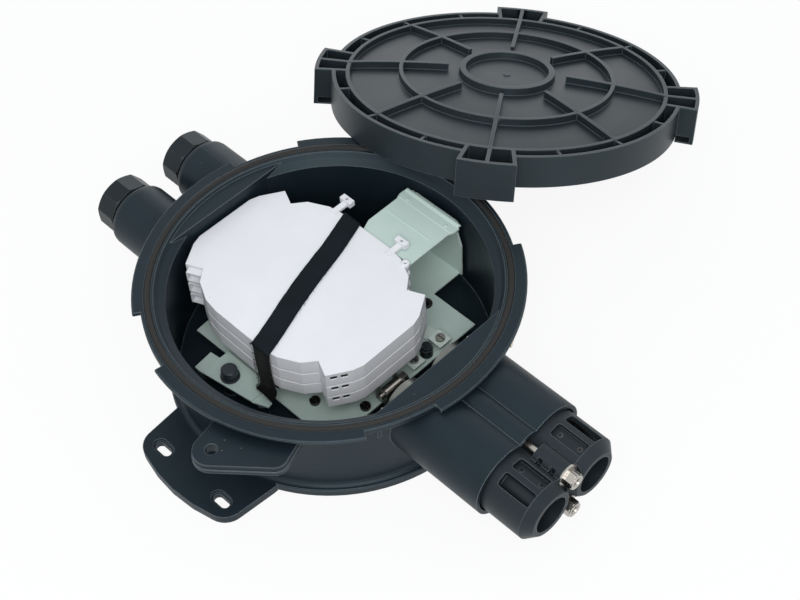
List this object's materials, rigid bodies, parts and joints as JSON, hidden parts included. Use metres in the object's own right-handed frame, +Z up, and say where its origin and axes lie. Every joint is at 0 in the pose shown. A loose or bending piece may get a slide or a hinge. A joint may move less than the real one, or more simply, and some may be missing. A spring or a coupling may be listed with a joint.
{
  "type": "round fibre splice closure",
  "caption": "Round fibre splice closure: a tub with large cable ports, small glands, a foot and an ear, a hinged stack of splice trays under a strap, and its bayonet lid lifted off.",
  "frame": {"origin": "centre of the tub's round resting face", "axes": "+Z up along the tub's axis, +X towards the large cable ports, +Y towards the tray hinge"},
  "size_m": [0.4482, 0.548, 0.1332],
  "materials": {
    "tub_plastic": "satin",
    "black_plastic": "satin",
    "seal_rubber": "matte",
    "tray_plastic": "satin",
    "sage_metal": "satin",
    "bright_steel": "polished",
    "dull_steel": "brushed",
    "valve_brass": "satin",
    "strap_fabric": "matte"
  },
  "bodies": {
    "tub": {"tub_shell": "tub_plastic", "rim_gasket": "seal_rubber", "port_seal": "seal_rubber", "pressure_plate": "bright_steel", "compression_bolts": "bright_steel", "gland_body_1": "black_plastic", "gland_body_2": "black_plastic", "gland_seal_1": "seal_rubber", "gland_seal_2": "seal_rubber", "pressure_valve": "valve_brass", "base_frame": "sage_metal", "frame_screws": "bright_steel", "hinge_pin": "dull_steel", "knob_bracket": "sage_metal", "strength_clamps": "sage_metal", "clamp_screws": "dull_steel", "earth_terminal": "black_plastic", "cable_anchor": "dull_steel", "anchor_bolt": "bright_steel", "cable_saddles": "dull_steel", "hose_clamp_1": "bright_steel", "hose_clamp_2": "bright_steel"},
    "collar": {"pressure_collar": "black_plastic", "bolt_washers": "bright_steel"},
    "nut_upper": {"compression_nut_upper": "bright_steel"},
    "nut_lower": {"compression_nut_lower": "bright_steel"},
    "cap_nut_1": {"gland_nut_1": "black_plastic"},
    "cap_nut_2": {"gland_nut_2": "black_plastic"},
    "valve_cap": {"valve_cap": "black_plastic"},
    "thumb_knob": {"knob": "black_plastic"},
    "worm_1": {"worm_screw_1": "dull_steel"},
    "worm_2": {"worm_screw_2": "dull_steel"},
    "tray_stack": {"tray_arm": "sage_metal", "arm_rivets": "dull_steel", "splice_tray_1": "tray_plastic", "splice_tray_2": "tray_plastic", "splice_tray_3": "tray_plastic", "tray_cover": "tray_plastic", "tray_strap": "strap_fabric"},
    "lid": {"lid_shell": "tub_plastic"}
  },
  "joints": [
    {"name": "lid_lift", "type": "slide", "parent": "tub", "child": "lid", "axis": [0, 0, 1], "range_m": [0, 0.15]},
    {"name": "tray_swing", "type": "hinge", "parent": "tub", "child": "tray_stack", "pos_m": [-0.003, 0.1115, 0.0705], "axis": [-1, 0, 0], "range_deg": [0, 60]},
    {"name": "collar_slide", "type": "slide", "parent": "tub", "child": "collar", "axis": [-1, 0, 0], "range_m": [0, 0.006]},
    {"name": "upper_nut_turn", "type": "hinge", "parent": "collar", "child": "nut_upper", "pos_m": [0.232, 0, 0.072], "axis": [-1, 0, 0], "range_deg": [0, 2160]},
    {"name": "lower_nut_turn", "type": "hinge", "parent": "collar", "child": "nut_lower", "pos_m": [0.232, 0, 0.038], "axis": [-1, 0, 0], "range_deg": [0, 2160]},
    {"name": "cap_nut_1_turn", "type": "hinge", "parent": "tub", "child": "cap_nut_1", "pos_m": [-0.1918, -0.033, 0.044], "axis": [-1, 0, 0], "range_deg": [-90, 1080]},
    {"name": "cap_nut_2_turn", "type": "hinge", "parent": "tub", "child": "cap_nut_2", "pos_m": [-0.1918, 0.033, 0.044], "axis": [-1, 0, 0], "range_deg": [-90, 1080]},
    {"name": "valve_cap_turn", "type": "hinge", "parent": "tub", "child": "valve_cap", "pos_m": [0.11336, 0.05901, 0.0635], "axis": [0.887, 0.4617, 0], "range_deg": [0, 1080]},
    {"name": "knob_turn", "type": "hinge", "parent": "tub", "child": "thumb_knob", "pos_m": [-0.03, -0.079, 0.0205], "axis": [0, 0, 1], "range_deg": [0, 1080]},
    {"name": "worm_1_turn", "type": "hinge", "parent": "tub", "child": "worm_1", "pos_m": [0.0995, -0.043, 0.055], "axis": [0, 0, 1], "range_deg": [-720, 1080]},
    {"name": "worm_2_turn", "type": "hinge", "parent": "tub", "child": "worm_2", "pos_m": [0.0995, 0.043, 0.055], "axis": [0, 0, 1], "range_deg": [-720, 1080]}
  ],
  "couplings": [
    {"joint": "upper_nut_turn", "follows": "collar_slide", "rad_per_m": 6283},
    {"joint": "lower_nut_turn", "follows": "collar_slide", "rad_per_m": 6283}
  ]
}
